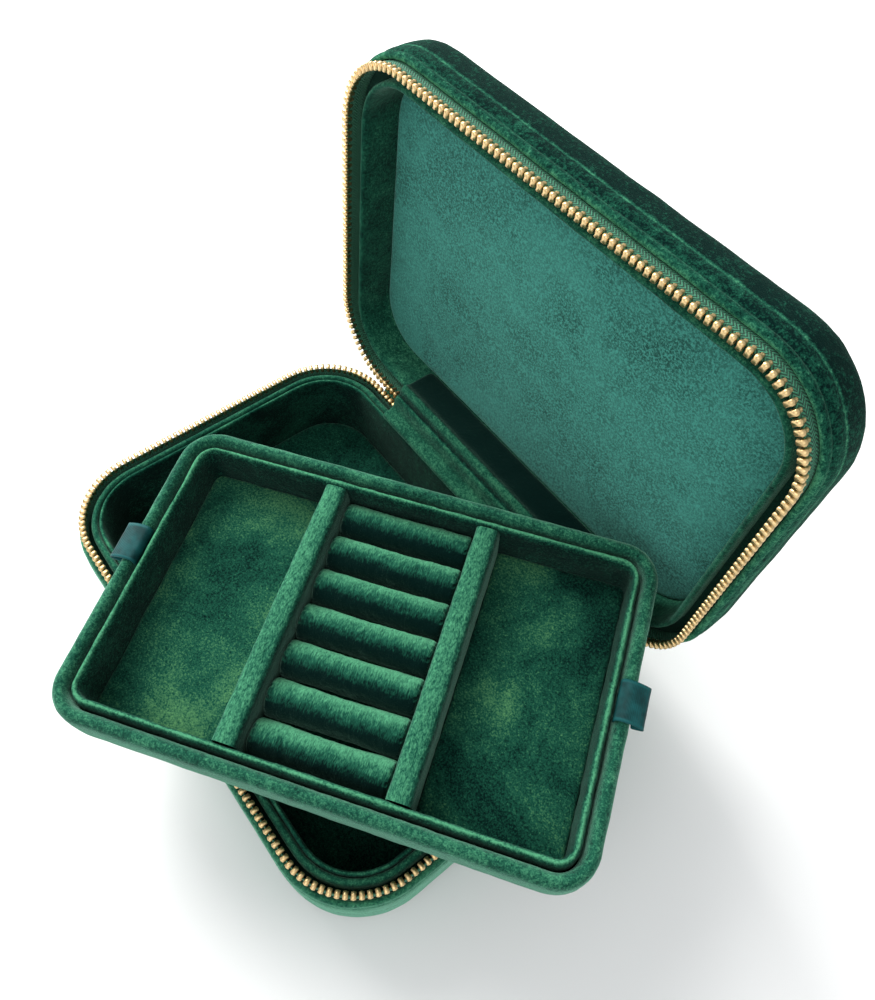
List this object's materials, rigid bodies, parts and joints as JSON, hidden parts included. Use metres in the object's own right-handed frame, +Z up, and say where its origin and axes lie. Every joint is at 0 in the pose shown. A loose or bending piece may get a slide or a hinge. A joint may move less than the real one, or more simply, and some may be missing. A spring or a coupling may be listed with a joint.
{
  "type": "travel jewelry case",
  "caption": "Zipped velvet travel jewelry case with a hinged lid and a lift-out tray that has open compartments and ring rolls.",
  "frame": {"origin": "centre of the base's underside, on the surface it rests on", "axes": "+Z up, +Y towards the hinge, X along the hinge and the long side"},
  "size_m": [0.2036, 0.1781, 0.1559],
  "materials": {
    "velvet": "crushed emerald velvet over thin foam",
    "suede_lining": "flat short-pile suede, blue-green",
    "zip_tape": "woven herringbone tape",
    "satin_ribbon": "dark teal satin",
    "greyboard": "plain greyboard stiffener",
    "brass": "polished light gold plate"
  },
  "bodies": {
    "base": {"base_shell": "velvet", "base_floor_board": "greyboard", "base_wall_board": "greyboard", "base_liner_outer": "velvet", "base_liner_inner": "velvet", "base_floor_pad": "velvet", "base_piping": "velvet", "base_zip_tape": "zip_tape", "base_zip_teeth": "brass", "base_zip_stops": "brass", "hinge_spine": "velvet", "hinge_lining": "velvet"},
    "lid": {"lid_shell": "velvet", "lid_top_board": "greyboard", "lid_wall_board": "greyboard", "lid_liner": "velvet", "lid_lining_panel": "suede_lining", "lid_piping": "velvet", "lid_zip_tape": "zip_tape", "lid_zip_teeth": "brass", "lid_zip_stop": "brass"},
    "tray": {"tray_shell": "velvet", "tray_bottom_board": "greyboard", "tray_inner_liner": "velvet", "tray_floor_left": "velvet", "tray_floor_right": "velvet", "ring_bed_pad": "velvet", "divider_left": "velvet", "divider_right": "velvet", "ring_roll_1": "velvet", "ring_roll_2": "velvet", "ring_roll_3": "velvet", "ring_roll_4": "velvet", "ring_roll_5": "velvet", "ring_roll_6": "velvet", "ring_roll_7": "velvet", "ribbon_tab_left": "satin_ribbon", "ribbon_tab_right": "satin_ribbon"},
    "slider": {"zip_slider": "brass"},
    "pull": {"zip_pull_tab": "brass"}
  },
  "joints": [
    {"name": "lid_hinge", "type": "hinge", "parent": "base", "child": "lid", "pos_m": [0, 0.0604, 0.034], "axis": [1, 0, 0], "range_deg": [0, 93.6], "deforming": ["hinge_spine", "hinge_lining"]},
    {"name": "tray_lift_off", "type": "slide", "parent": "base", "child": "tray", "axis": [0, -0.8192, 0.5736], "range_m": [0, 0.3]},
    {"name": "slider_run", "type": "slide", "parent": "base", "child": "slider", "axis": [1, 0, 0], "range_m": [0, 0.0025]},
    {"name": "pull_swing", "type": "hinge", "parent": "slider", "child": "pull", "pos_m": [0.0534, 0.0639, 0.0303], "axis": [1, 0, 0], "range_deg": [0, 65]}
  ],
  "couplings": [
    {"joint": "tray_lift_off", "follows": "lid_hinge", "m_per_rad": 0.1831}
  ]
}
